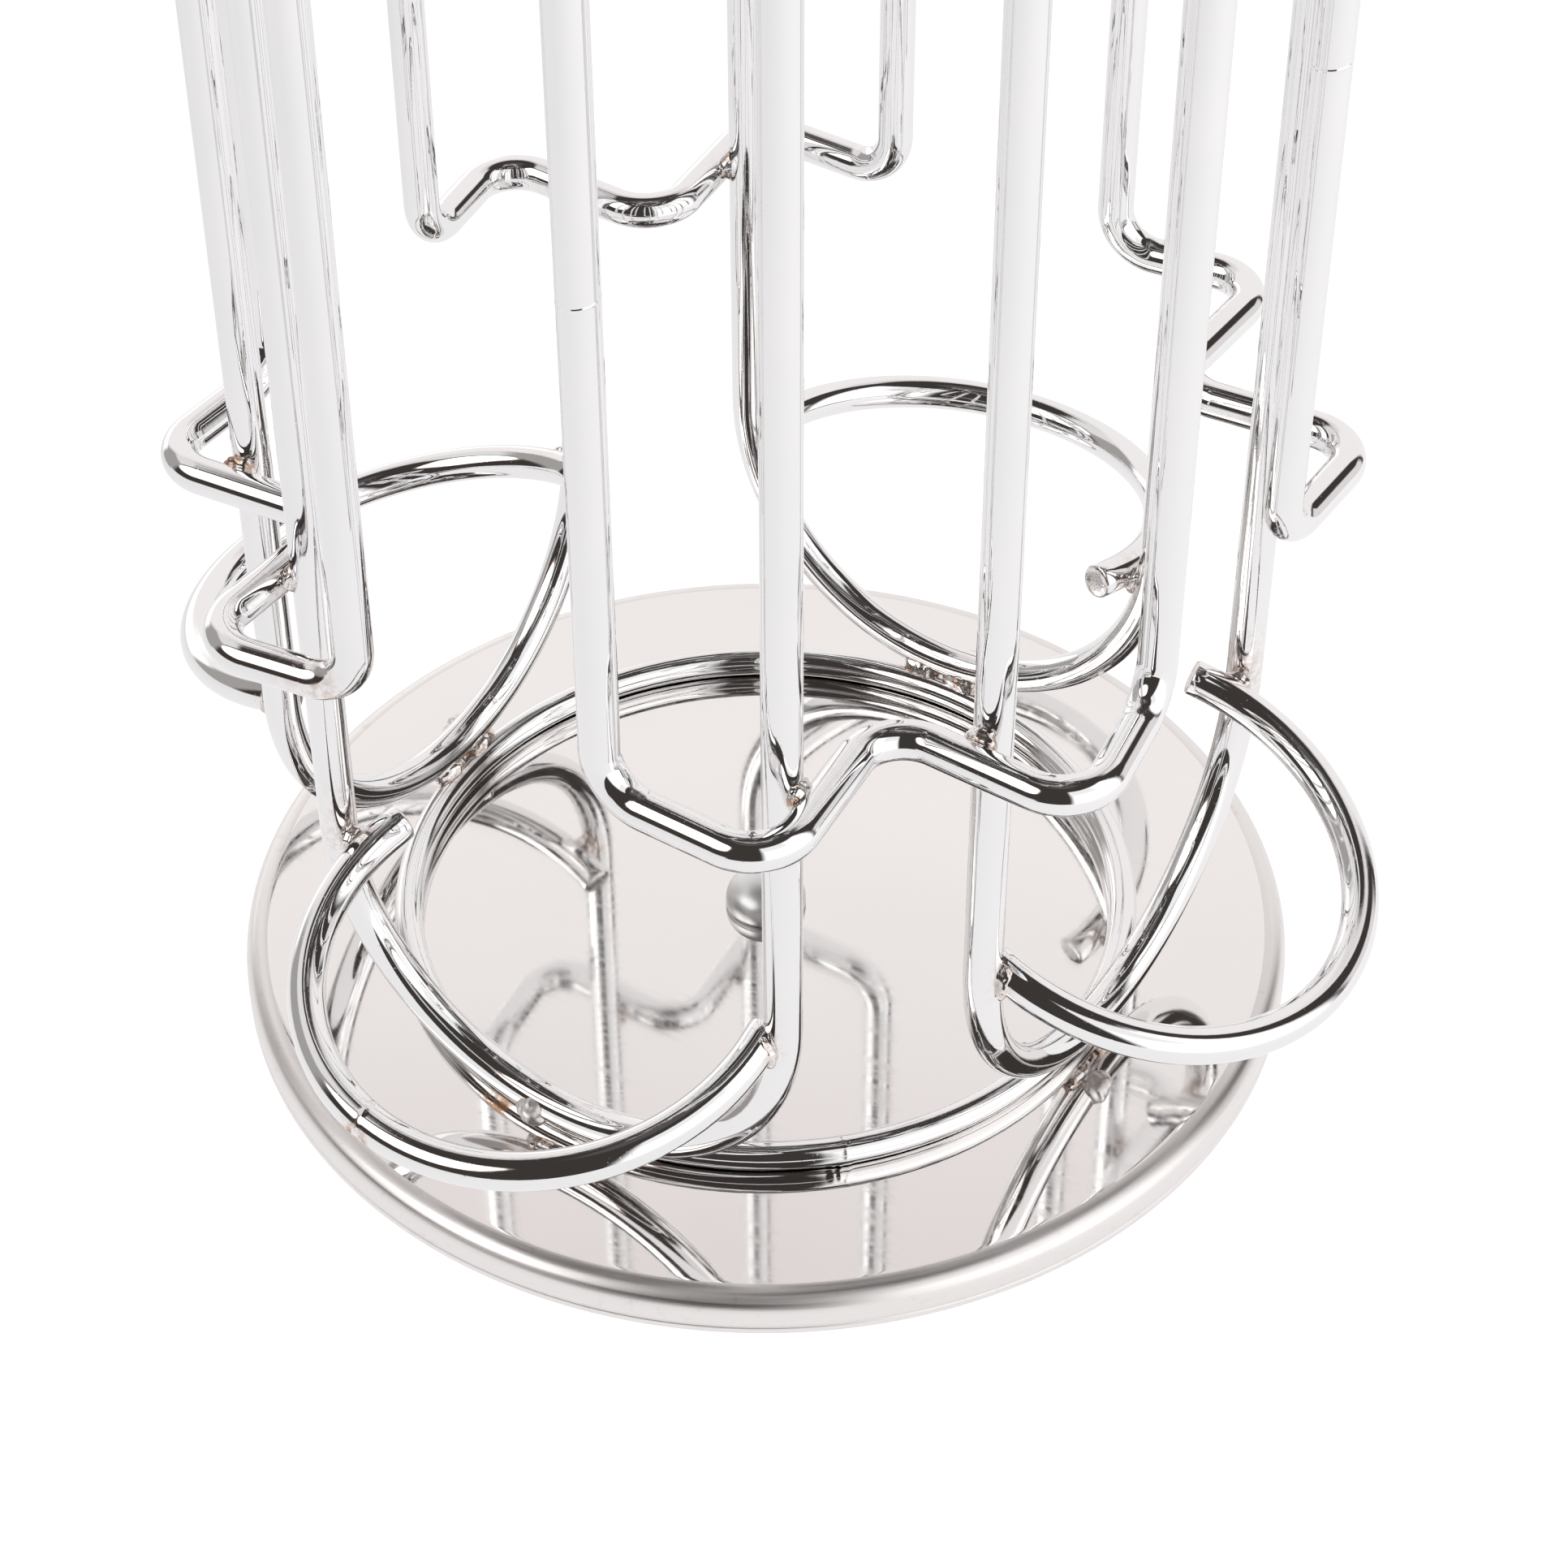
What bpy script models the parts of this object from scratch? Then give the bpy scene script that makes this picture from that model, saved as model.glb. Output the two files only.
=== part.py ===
"""Rotating wire carousel for flat drink discs: a still foot, a swivel bearing, and a turning tower."""

import math

import bmesh
import bpy
from mathutils import Matrix, Vector

MM = 0.001

# Driving dimensions, in millimetres. Heights are above the table.
GAP = 0.3
WIRE = 5.0
RING_WIRE = 4.0

DISC_RADIUS = 75.0
DISC_TOP = 11.0
DISC_SHEET = 1.0
DISC_ROLL_WIDTH = 3.2
DISC_ROLL_HEIGHT = 3.0
DISC_SKIRT_BOTTOM = 4.6
CENTRE_HOLE = 2.8

FOOT_RADIUS = 70.0
FOOT_FLOOR = 1.9
FOOT_SHEET = 1.2
FOOT_RIM_TOP = 5.6
FOOT_BOSS_RISE = 2.4
FOOT_BOSS_RADIUS = 9.0
PAD_RADIUS = 6.0
PAD_CIRCLE = 55.0

RACE_INNER = 19.0
RACE_OUTER = 33.0
BALL_CIRCLE = 26.0
BALL_RADIUS = 1.75
BALLS = 8
BALL_HEIGHT = 6.5
BALL_PHASE = 6.0
RIVETS = 3
RIVET_CIRCLE = 30.8

RING_RADIUS = 51.4
COLUMN_RADIUS = 54.0
COLUMN_HALF_WIDTH = 35.0
COLUMN_SHIFT = 1.1
COLUMN_TWIST = -2.35
COLUMN_BOTTOM = DISC_TOP + 6.5
COLUMN_TOP = COLUMN_BOTTOM + 365.0

GUIDE_LEG = (58.9, 34.1)
GUIDE_OUTER = (76.9, 18.9)
GUIDE_INNER = 55.3
GUIDE_SHIFT = 1.0
GUIDE_BEND = 6.5
GUIDE_BOTTOM = DISC_TOP + 81.2
GUIDE_TOP = COLUMN_TOP - (GUIDE_BOTTOM - COLUMN_BOTTOM)

LOOP_RADIUS = 31.2
LOOP_OUT = 4.2
LOOP_ASIDE = 1.7
LOOP_START = 2.5
LOOP_END = 197.0

NUT_RADIUS = 5.8
NUT_HEIGHT = 4.6

# Height above the disc, tilt in degrees, and the side that the loose end is on (1 left, -1 right).
LOOPS = {
    "catch_loop_1": (39.3, 13.0, 1),
    "catch_loop_2": (40.2, 20.0, -1),
    "catch_loop_3": (35.5, 11.0, 1),
    "catch_loop_4": (38.7, 16.5, 1),
}


def clear_scene():
    for obj in list(bpy.data.objects):
        bpy.data.objects.remove(obj, do_unlink=True)


def new_collection(name):
    collection = bpy.data.collections.new(name)
    bpy.context.scene.collection.children.link(collection)
    return collection


def material(name, colour, metallic, roughness):
    made = bpy.data.materials.new(name)
    made.use_nodes = True
    shader = made.node_tree.nodes["Principled BSDF"]
    shader.inputs["Base Color"].default_value = (*colour, 1.0)
    shader.inputs["Metallic"].default_value = metallic
    shader.inputs["Roughness"].default_value = roughness
    return made


def frame_at(degrees):
    """Outward and sideways directions at an angle from the front, turning towards +X."""
    angle = math.radians(degrees)
    outward = Vector((math.sin(angle), -math.cos(angle), 0.0))
    sideways = Vector((math.cos(angle), math.sin(angle), 0.0))
    return outward, sideways


def arc(centre, first, second, radius, start, end, steps):
    points = []
    for i in range(steps + 1):
        angle = math.radians(start + (end - start) * i / steps)
        points.append(centre + first * (radius * math.cos(angle)) + second * (radius * math.sin(angle)))
    return points


def bend_corners(corners, radius, steps):
    """A closed path through the corners, each corner rounded with an arc."""
    points = []
    count = len(corners)
    for i, corner in enumerate(corners):
        back = (corners[i - 1] - corner).normalized()
        ahead = (corners[(i + 1) % count] - corner).normalized()
        half = back.angle(ahead) / 2.0
        inset = radius / math.tan(half)
        middle = (back + ahead).normalized()
        centre = corner + middle * (radius / math.sin(half))
        start = corner + back * inset - centre
        end = corner + ahead * inset - centre
        sweep = start.angle(end)
        axis = start.cross(end).normalized()
        for k in range(steps + 1):
            turn = Matrix.Rotation(sweep * k / steps, 3, axis)
            points.append(centre + turn @ start)
    return points


def add_object(name, data, look, collection):
    obj = bpy.data.objects.new(name, data)
    obj.data.materials.append(look)
    collection.objects.link(obj)
    return obj


def wire(name, points, diameter, closed, look, collection):
    """A round wire along the points, which are in millimetres."""
    curve = bpy.data.curves.new(name, "CURVE")
    curve.dimensions = "3D"
    curve.twist_mode = "MINIMUM"
    curve.bevel_depth = diameter / 2.0 * MM
    curve.bevel_resolution = 2
    curve.use_fill_caps = True
    spline = curve.splines.new("POLY")
    spline.points.add(len(points) - 1)
    for point, place in zip(spline.points, points):
        point.co = (place.x * MM, place.y * MM, place.z * MM, 1.0)
    spline.use_cyclic_u = closed
    spline.use_smooth = True
    return add_object(name, curve, look, collection)


def turned(name, profile, steps, look, collection, closed=True, centre=(0.0, 0.0)):
    """A turned piece. The profile holds (radius, height) and runs down its outer side."""
    mesh = bpy.data.meshes.new(name)
    verts = [(radius * MM, 0.0, height * MM) for radius, height in profile]
    edges = [(i, i + 1) for i in range(len(profile) - 1)]
    if closed:
        edges.append((len(profile) - 1, 0))
    mesh.from_pydata(verts, edges, [])
    obj = add_object(name, mesh, look, collection)
    obj.location = (centre[0] * MM, centre[1] * MM, 0.0)
    screw = obj.modifiers.new("turn", "SCREW")
    screw.steps = steps
    screw.render_steps = steps
    screw.use_merge_vertices = True
    screw.merge_threshold = 0.00001
    screw.use_smooth_shade = True
    return obj


def quarter(centre, wide, high, start, end, steps):
    """Profile points on an ellipse, angles from +radius towards +height."""
    points = []
    for i in range(steps + 1):
        angle = math.radians(start + (end - start) * i / steps)
        points.append((centre[0] + wide * math.cos(angle), centre[1] + high * math.sin(angle)))
    return points


def build_foot(parts, steel, rubber, nylon):
    floor = FOOT_FLOOR
    top = floor + FOOT_SHEET
    boss = floor + FOOT_BOSS_RISE
    boss_top = boss + FOOT_SHEET
    hole = CENTRE_HOLE + 1.6
    profile = [
        (hole, boss_top),
        (FOOT_BOSS_RADIUS, boss_top),
        (FOOT_BOSS_RADIUS + 3.0, top),
        (FOOT_RADIUS - 3.0, top),
        (FOOT_RADIUS - 1.4, top + 1.0),
        (FOOT_RADIUS - 1.2, FOOT_RIM_TOP),
        (FOOT_RADIUS, FOOT_RIM_TOP),
        (FOOT_RADIUS, floor + 1.4),
        (FOOT_RADIUS - 1.6, floor),
        (FOOT_BOSS_RADIUS + 3.6, floor),
        (FOOT_BOSS_RADIUS + 0.6, boss),
        (hole, boss),
    ]
    turned("foot_pan", profile, 40, steel, parts)
    for i in range(4):
        outward, _ = frame_at(45.0 + 90.0 * i)
        place = outward * PAD_CIRCLE
        pad_top = floor - GAP
        pad = [(0.0, pad_top), (PAD_RADIUS, pad_top), (PAD_RADIUS - 0.5, 0.0), (0.0, 0.0)]
        turned(f"foot_pad_{i + 1}", pad, 16, rubber, parts, closed=False, centre=place[:2])
    bush = [
        (CENTRE_HOLE + 0.1, boss_top + 1.1),
        (7.0, boss_top + 1.1),
        (7.0, boss_top + GAP),
        (hole - GAP, boss_top + GAP),
        (hole - GAP, boss - 0.3),
        (CENTRE_HOLE + 0.1, boss - 0.3),
    ]
    turned("pivot_bush", bush, 20, nylon, parts)


def build_bearing(parts, steel, nylon):
    foot_top = FOOT_FLOOR + FOOT_SHEET
    low = foot_top + GAP
    groove = BALL_RADIUS + 0.15
    lower_top = BALL_HEIGHT - 0.8
    upper_low = BALL_HEIGHT + 0.8
    reach = math.sqrt(groove**2 - 0.8**2)
    dip = math.degrees(math.asin(0.8 / groove))
    lower = [(RACE_INNER, lower_top)]
    lower += quarter((BALL_CIRCLE, BALL_HEIGHT), groove, groove, 180.0 + dip, 360.0 - dip, 4)
    lower += [(RACE_OUTER, lower_top), (RACE_OUTER, low), (RACE_INNER, low)]
    turned("lower_race", lower, 32, steel, parts)
    disc_under = DISC_TOP - DISC_SHEET - GAP
    upper = [(RACE_INNER, disc_under), (RACE_OUTER, disc_under), (RACE_OUTER, upper_low)]
    upper += [(BALL_CIRCLE + reach, upper_low)]
    upper += quarter((BALL_CIRCLE, BALL_HEIGHT), groove, groove, dip + 8.0, 172.0 - dip, 3)
    upper += [(BALL_CIRCLE - reach, upper_low), (RACE_INNER, upper_low)]
    turned("upper_race", upper, 32, steel, parts)
    for i in range(BALLS):
        outward, _ = frame_at(BALL_PHASE + 360.0 * i / BALLS)
        place = outward * BALL_CIRCLE
        ball = quarter((0.0, BALL_HEIGHT), BALL_RADIUS, BALL_RADIUS, 90.0, -90.0, 5)
        ball[0] = (0.0, BALL_HEIGHT + BALL_RADIUS)
        ball[-1] = (0.0, BALL_HEIGHT - BALL_RADIUS)
        turned(f"bearing_ball_{i + 1}", ball, 8, steel, parts, closed=False, centre=place[:2])
    build_cage(parts, nylon)


def build_cage(parts, nylon):
    """A flat ring with a round pocket for each ball."""
    thick = 0.9
    inner = BALL_CIRCLE - 4.2
    outer = BALL_CIRCLE + 4.2
    top = BALL_HEIGHT + thick / 2.0
    low = BALL_HEIGHT - thick / 2.0
    cage = turned("ball_cage", [(inner, top), (outer, top), (outer, low), (inner, low)], 32, nylon, parts)
    cutters = bpy.data.collections.get("cutters")
    for i in range(BALLS):
        outward, _ = frame_at(BALL_PHASE + 360.0 * i / BALLS)
        place = outward * BALL_CIRCLE
        cutter = drum(f"cut_pocket_{i + 1}", place, BALL_RADIUS + 0.35, low - 1.0, top + 1.0, cutters)
        cut = cage.modifiers.new(f"pocket_{i + 1}", "BOOLEAN")
        cut.operation = "DIFFERENCE"
        cut.solver = "EXACT"
        cut.object = cutter


def drum(name, place, radius, low, high, collection):
    """A hidden cylinder that cuts a round hole."""
    shape = bmesh.new()
    bmesh.ops.create_cone(
        shape, cap_ends=True, segments=12, radius1=radius * MM, radius2=radius * MM, depth=(high - low) * MM
    )
    mesh = bpy.data.meshes.new(name)
    shape.to_mesh(mesh)
    shape.free()
    obj = bpy.data.objects.new(name, mesh)
    obj.location = (place.x * MM, place.y * MM, (low + high) / 2.0 * MM)
    collection.objects.link(obj)
    obj.hide_render = True
    obj.display_type = "WIRE"
    return obj


def build_pivot(parts, steel, chrome):
    boss = FOOT_FLOOR + FOOT_BOSS_RISE
    boss_top = boss + FOOT_SHEET
    head_top = boss - 0.6
    shank = CENTRE_HOLE - GAP
    disc_under = DISC_TOP - DISC_SHEET
    end = DISC_TOP + 2.6
    bolt = [
        (0.0, end),
        (shank - 0.4, end),
        (shank, end - 0.4),
        (shank, head_top),
        (6.2, head_top),
        (6.2, head_top - 1.4),
        (5.2, head_top - 2.0),
        (0.0, head_top - 2.0),
    ]
    turned("pivot_bolt", bolt, 20, steel, parts, closed=False)
    washer_low = boss_top + 1.1 + GAP
    washer_top = washer_low + 0.8
    washer = [(CENTRE_HOLE, washer_top), (8.0, washer_top), (8.0, washer_low), (CENTRE_HOLE, washer_low)]
    turned("thrust_washer", washer, 20, steel, parts)
    sleeve_low = washer_top + GAP
    sleeve_top = disc_under - GAP
    sleeve = [(CENTRE_HOLE, sleeve_top), (5.5, sleeve_top), (5.5, sleeve_low), (CENTRE_HOLE, sleeve_low)]
    turned("spacer_sleeve", sleeve, 20, steel, parts)
    low = DISC_TOP + GAP
    dome = quarter((0.0, low + 1.4), NUT_RADIUS - 0.5, NUT_HEIGHT - 1.4, 90.0, 0.0, 4)
    dome[0] = (0.0, low + NUT_HEIGHT)
    nut = dome + [
        (NUT_RADIUS, low + 1.2),
        (NUT_RADIUS, low + 0.2),
        (NUT_RADIUS - 0.2, low),
        (CENTRE_HOLE, low),
        (CENTRE_HOLE, end + 0.2),
        (CENTRE_HOLE - 0.6, end + GAP),
        (0.0, end + GAP),
    ]
    turned("centre_cap_nut", nut, 20, chrome, parts, closed=False)


def build_disc(parts, polished):
    roll = (DISC_RADIUS - DISC_ROLL_WIDTH, DISC_TOP - DISC_ROLL_HEIGHT)
    inside = DISC_SHEET
    outer = quarter(roll, DISC_ROLL_WIDTH, DISC_ROLL_HEIGHT, 90.0, 0.0, 4)
    inner = quarter(roll, DISC_ROLL_WIDTH - inside, DISC_ROLL_HEIGHT - inside, 0.0, 90.0, 3)
    profile = [(CENTRE_HOLE, DISC_TOP)]
    profile += outer
    profile += [(DISC_RADIUS, DISC_SKIRT_BOTTOM + 0.3), (DISC_RADIUS - 0.3, DISC_SKIRT_BOTTOM)]
    profile += [(DISC_RADIUS - inside, DISC_SKIRT_BOTTOM)]
    profile += inner
    profile += [(CENTRE_HOLE, DISC_TOP - DISC_SHEET)]
    turned("base_disc", profile, 60, polished, parts)


def ring(name, radius, height, look, parts):
    centre = Vector((0.0, 0.0, height))
    points = arc(centre, Vector((1, 0, 0)), Vector((0, 1, 0)), radius, 0.0, 360.0, 44)[:-1]
    wire(name, points, RING_WIRE, True, look, parts)


def column_place(index):
    """Middle, outward and sideways directions of a column frame's plane."""
    outward, sideways = frame_at(90.0 * index)
    middle = outward * COLUMN_RADIUS + sideways * COLUMN_SHIFT
    turned_out, turned_side = frame_at(90.0 * index + COLUMN_TWIST)
    return middle, turned_out, turned_side


def build_tower(parts, chrome):
    up = Vector((0.0, 0.0, 1.0))
    ring_rise = DISC_TOP + GAP + RING_WIRE / 2.0
    ring("base_ring", RING_RADIUS, ring_rise, chrome, parts)
    ring("top_ring", RING_RADIUS, COLUMN_TOP + COLUMN_BOTTOM - ring_rise, chrome, parts)
    half = COLUMN_HALF_WIDTH
    for i in range(4):
        middle, outward, sideways = column_place(i)
        low = middle + up * (COLUMN_BOTTOM + half)
        high = middle + up * (COLUMN_TOP - half)
        path = arc(low, -sideways, -up, half, 0.0, 180.0, 14)
        path += arc(high, sideways, up, half, 0.0, 180.0, 14)
        wire(f"column_frame_{i + 1}", path, WIRE, True, chrome, parts)
        height, tilt, side = LOOPS[f"catch_loop_{i + 1}"]
        out = outward * math.cos(math.radians(tilt)) - up * math.sin(math.radians(tilt))
        butt = sideways * side
        centre = middle + outward * LOOP_OUT + butt * LOOP_ASIDE + up * (DISC_TOP + height)
        path = arc(centre, butt, out, LOOP_RADIUS, LOOP_START, LOOP_END, 17)
        wire(f"catch_loop_{i + 1}", path, WIRE, False, chrome, parts)
    for i in range(4):
        outward, sideways = frame_at(45.0 + 90.0 * i)
        leg, side = GUIDE_LEG
        reach, spread = GUIDE_OUTER
        flat = [
            outward * leg - sideways * side,
            outward * reach - sideways * (spread - GUIDE_SHIFT),
            outward * GUIDE_INNER + sideways * GUIDE_SHIFT,
            outward * reach + sideways * (spread + GUIDE_SHIFT),
            outward * leg + sideways * side,
        ]
        corners = [corner + up * GUIDE_BOTTOM for corner in flat]
        corners += [corner + up * GUIDE_TOP for corner in reversed(flat)]
        wire(f"guide_frame_{i + 1}", bend_corners(corners, GUIDE_BEND, 3), WIRE, True, chrome, parts)


def build_rivets(parts, steel):
    """Rivets that hold the lower race to the foot pan, headed under the pan."""
    for i in range(RIVETS):
        outward, _ = frame_at(60.0 + 360.0 * i / RIVETS)
        place = outward * RIVET_CIRCLE
        floor = FOOT_FLOOR
        shape = [(0.0, floor - GAP), (2.2, floor - GAP), (1.8, floor - 1.2), (0.0, floor - 1.2)]
        turned(f"race_rivet_{i + 1}", shape, 10, steel, parts, closed=False, centre=place[:2])


def main():
    clear_scene()
    bpy.context.scene.unit_settings.system = "METRIC"
    parts = new_collection("disc_carousel")
    new_collection("cutters").hide_render = True
    chrome = material("chrome_wire", (0.86, 0.86, 0.87), 1.0, 0.06)
    polished = material("polished_sheet", (0.83, 0.82, 0.81), 1.0, 0.08)
    steel = material("plain_steel", (0.62, 0.62, 0.63), 1.0, 0.3)
    rubber = material("black_rubber", (0.03, 0.03, 0.03), 0.0, 0.8)
    nylon = material("white_nylon", (0.85, 0.85, 0.82), 0.0, 0.5)
    build_foot(parts, steel, rubber, nylon)
    build_bearing(parts, steel, nylon)
    build_pivot(parts, steel, chrome)
    build_disc(parts, polished)
    build_tower(parts, chrome)
    build_rivets(parts, steel)


main()
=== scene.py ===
"""Looks of the rotating wire carousel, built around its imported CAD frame."""

import math

import bmesh
import bpy
import numpy as np
from mathutils import Matrix, Vector, noise


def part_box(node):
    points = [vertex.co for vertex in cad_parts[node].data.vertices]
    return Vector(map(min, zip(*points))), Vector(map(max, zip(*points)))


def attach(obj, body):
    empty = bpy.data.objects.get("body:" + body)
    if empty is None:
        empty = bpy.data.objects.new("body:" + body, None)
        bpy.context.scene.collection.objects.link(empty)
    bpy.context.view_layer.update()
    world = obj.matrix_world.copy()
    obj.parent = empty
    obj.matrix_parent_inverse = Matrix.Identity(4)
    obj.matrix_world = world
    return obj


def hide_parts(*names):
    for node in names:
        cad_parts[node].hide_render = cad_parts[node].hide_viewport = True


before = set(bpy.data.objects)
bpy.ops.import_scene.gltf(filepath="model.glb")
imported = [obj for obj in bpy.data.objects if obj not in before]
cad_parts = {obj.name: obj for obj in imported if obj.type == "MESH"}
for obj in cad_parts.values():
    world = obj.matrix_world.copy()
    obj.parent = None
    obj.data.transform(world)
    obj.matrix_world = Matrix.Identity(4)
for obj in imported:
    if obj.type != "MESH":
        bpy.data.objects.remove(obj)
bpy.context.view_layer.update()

MM = 0.001
UP = Vector((0.0, 0.0, 1.0))

# -------- dimensions
# In millimetres, the same as in the CAD source. What the frame can say is read from it.


def box_mm(node):
    low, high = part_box(node)
    return low / MM, high / MM


# Wires, and the gap between solids that the real part has welded or bolted together.
WIRE = 5.0
RING_WIRE = 4.0
GAP = 0.3
DISC_TOP = round(box_mm("base_disc")[1].z, 3)
DISC_RADIUS = 75.0
DISC_SHEET = 1.0
DISC_ROLL_WIDTH = 3.2
DISC_ROLL_HEIGHT = 3.0
DISC_SKIRT_BOTTOM = round(box_mm("base_disc")[0].z, 3)
CENTRE_HOLE = 2.8
FOOT_RADIUS = 70.0
FOOT_FLOOR = round(box_mm("foot_pan")[0].z, 3)
FOOT_SHEET = 1.2
FOOT_RIM_TOP = 5.6
FOOT_BOSS_RISE = 2.4
FOOT_BOSS_RADIUS = 9.0
FOOT_HOLE = CENTRE_HOLE + 1.6
PAD_RADIUS = 6.0
PAD_CIRCLE = 55.0
RACE_INNER = 19.0
RACE_OUTER = 33.0
RACE_STANDOFF = 0.8
BALL_CIRCLE = 26.0
BALL_RADIUS = 1.75
BALLS = 8
BALL_HEIGHT = 6.5
BALL_PHASE = 6.0
RIVETS = 3
RIVET_CIRCLE = 30.8
RIVET_RADIUS = 2.2
RIVET_PHASE = 60.0
THREAD_PITCH = 0.7
THREAD_TURNS = 9
THREAD_DEPTH = 0.32
BUSH_RADIUS = 7.0
BUSH_FLANGE = 1.1
WASHER_RADIUS = 8.0
WASHER_THICKNESS = 0.8
SLEEVE_RADIUS = 5.5
NUT_RADIUS = 5.8
NUT_HEIGHT = 4.6
RING_RADIUS = 51.4
COLUMN_RADIUS = 54.0
COLUMN_HALF_WIDTH = 35.0
COLUMN_SHIFT = 1.1
COLUMN_TWIST = -2.35
COLUMN_BOTTOM = DISC_TOP + 6.5
COLUMN_TOP = COLUMN_BOTTOM + 365.0
BASE_RING_HEIGHT = DISC_TOP + GAP + RING_WIRE / 2.0
TOP_RING_HEIGHT = COLUMN_TOP + COLUMN_BOTTOM - BASE_RING_HEIGHT
# A guide in plan, outwards and to the side: its legs, its outer bends, and the bend between them.
GUIDE_LEG = (58.9, 34.1)
GUIDE_OUTER = (76.9, 18.9)
GUIDE_INNER = 55.3
GUIDE_SHIFT = 1.0
GUIDE_BEND = 6.5
GUIDE_BOTTOM = DISC_TOP + 81.2
GUIDE_TOP = COLUMN_TOP - (GUIDE_BOTTOM - COLUMN_BOTTOM)
LOOP_RADIUS = 31.2
LOOP_OUT = 4.2
LOOP_ASIDE = 1.7
# The CAD loop's arc in degrees, and how much earlier the real wire starts, inside the leg it butts on.
LOOP_START = 2.5
LOOP_END = 197.0
LOOP_BITE = 10.0
# Each loop's height over the disc, its tilt in degrees, and which leg it butts on: 1 right, -1 left.
LOOPS = {1: (39.3, 13.0, 1), 2: (40.2, 20.0, -1), 3: (35.5, 11.0, 1), 4: (38.7, 16.5, 1)}

# -------- node helpers


class Graph:
    """Builds the shader network of a material or a world, one line a node."""

    def __init__(self, owner):
        owner.use_nodes = True
        self.owner = owner
        self.tree = owner.node_tree

    def node(self, kind, values=None, **settings):
        """A new node with these settings, and a value or a link for each input named in values."""
        made = self.tree.nodes.new(kind)
        for name, value in settings.items():
            setattr(made, name, value)
        for name, value in (values or {}).items():
            self.feed(made.inputs[name], value)
        return made

    def feed(self, socket, value):
        if isinstance(value, bpy.types.NodeSocket):
            self.tree.links.new(value, socket)
        elif socket.type == "RGBA":
            socket.default_value = (*value, 1.0)
        else:
            socket.default_value = value

    def math(self, operation, first, second=0.0, clamp=False):
        values = {0: first, 1: second}
        return self.node("ShaderNodeMath", values, operation=operation, use_clamp=clamp).outputs[0]

    def ramp(self, value, low, high, start=0.0, end=1.0, smooth=True):
        values = {"Value": value, "From Min": low, "From Max": high, "To Min": start, "To Max": end}
        kind = "SMOOTHSTEP" if smooth else "LINEAR"
        return self.node("ShaderNodeMapRange", values, interpolation_type=kind).outputs["Result"]

    def mix(self, factor, first, second):
        values = {"Factor": factor, 6: first, 7: second}
        return self.node("ShaderNodeMix", values, data_type="RGBA").outputs[2]

    def noise(self, place, scale, detail=2.0, rough=0.5, stretch=None):
        if stretch:
            place = self.node("ShaderNodeMapping", {"Vector": place, "Scale": stretch}).outputs[0]
        values = {"Vector": place, "Scale": scale, "Detail": detail, "Roughness": rough}
        return self.node("ShaderNodeTexNoise", values).outputs["Fac"]

    def bump(self, height, distance, strength=1.0, normal=None):
        values = {"Height": height, "Distance": distance, "Strength": strength}
        if normal is not None:
            values["Normal"] = normal
        return self.node("ShaderNodeBump", values).outputs["Normal"]

    def finish(self, colour, roughness, normal):
        """Feeds the surface shader, and returns the material."""
        for name, value in {"Base Color": colour, "Roughness": roughness, "Normal": normal}.items():
            self.feed(self.shader.inputs[name], value)
        return self.owner


def new_material(name, metallic):
    """The graph of a new material, and the place in the object that its textures go by."""
    graph = Graph(bpy.data.materials.new(name))
    graph.shader = graph.tree.nodes["Principled BSDF"]
    graph.shader.inputs["Metallic"].default_value = metallic
    return graph, graph.node("ShaderNodeTexCoord").outputs["Object"]


# -------- materials


def chrome_plate(name, clear, hazy):
    """Chrome from clear to hazy in patches: a faint orange peel, pin holes, and browned metal at the welds.

    A mesh says where it is browned and where it is scuffed with its attributes stain and scuff."""
    g, place = new_material(name, 1.0)
    stain = g.node("ShaderNodeAttribute", attribute_name="stain").outputs["Fac"]
    blotch = g.noise(place, 900.0, 4.0, 0.65)
    brown = g.math("MULTIPLY", stain, g.ramp(blotch, 0.38, 0.66), clamp=True)
    tone = g.mix(g.noise(place, 60.0, 2.0), (0.835, 0.84, 0.85), (0.885, 0.88, 0.88))
    tone = g.mix(brown, tone, (0.47, 0.27, 0.16))
    haze = g.ramp(g.noise(place, 140.0, 3.0), 0.35, 0.8, clear, hazy)
    mark = g.node("ShaderNodeAttribute", attribute_name="scuff").outputs["Fac"]
    dull = g.math("MULTIPLY", mark, g.ramp(g.noise(place, 1400.0, 3.0, 0.6), 0.35, 0.65), clamp=True)
    haze = g.math("ADD", haze, g.math("MULTIPLY", dull, 0.3))
    haze = g.math("ADD", haze, g.math("MULTIPLY", brown, 0.35))
    peel = g.noise(place, 420.0, 2.0, 0.45)
    pits = g.ramp(g.noise(place, 2600.0, 1.0), 0.70, 0.80)
    normal = g.bump(peel, 0.0000055)
    normal = g.bump(pits, 0.000008, 0.5, normal)
    grit = g.math("MULTIPLY", g.noise(place, 2400.0, 3.0), mark)
    return g.finish(tone, haze, g.bump(grit, 0.00006, 0.6, normal))


def weld_metal(name, burnt, clear=0.08, hazy=0.26):
    """Weld beads under the plating: bright, uneven, with blotches of the burnt colour."""
    g, place = new_material(name, 1.0)
    blotch = g.noise(place, 700.0, 4.0, 0.6)
    tone = g.mix(g.ramp(blotch, 0.42, 0.62), (0.82, 0.80, 0.79), burnt)
    haze = g.ramp(blotch, 0.3, 0.7, clear, hazy)
    return g.finish(tone, haze, g.bump(g.noise(place, 1500.0, 3.0), 0.00004, 0.6))


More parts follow.
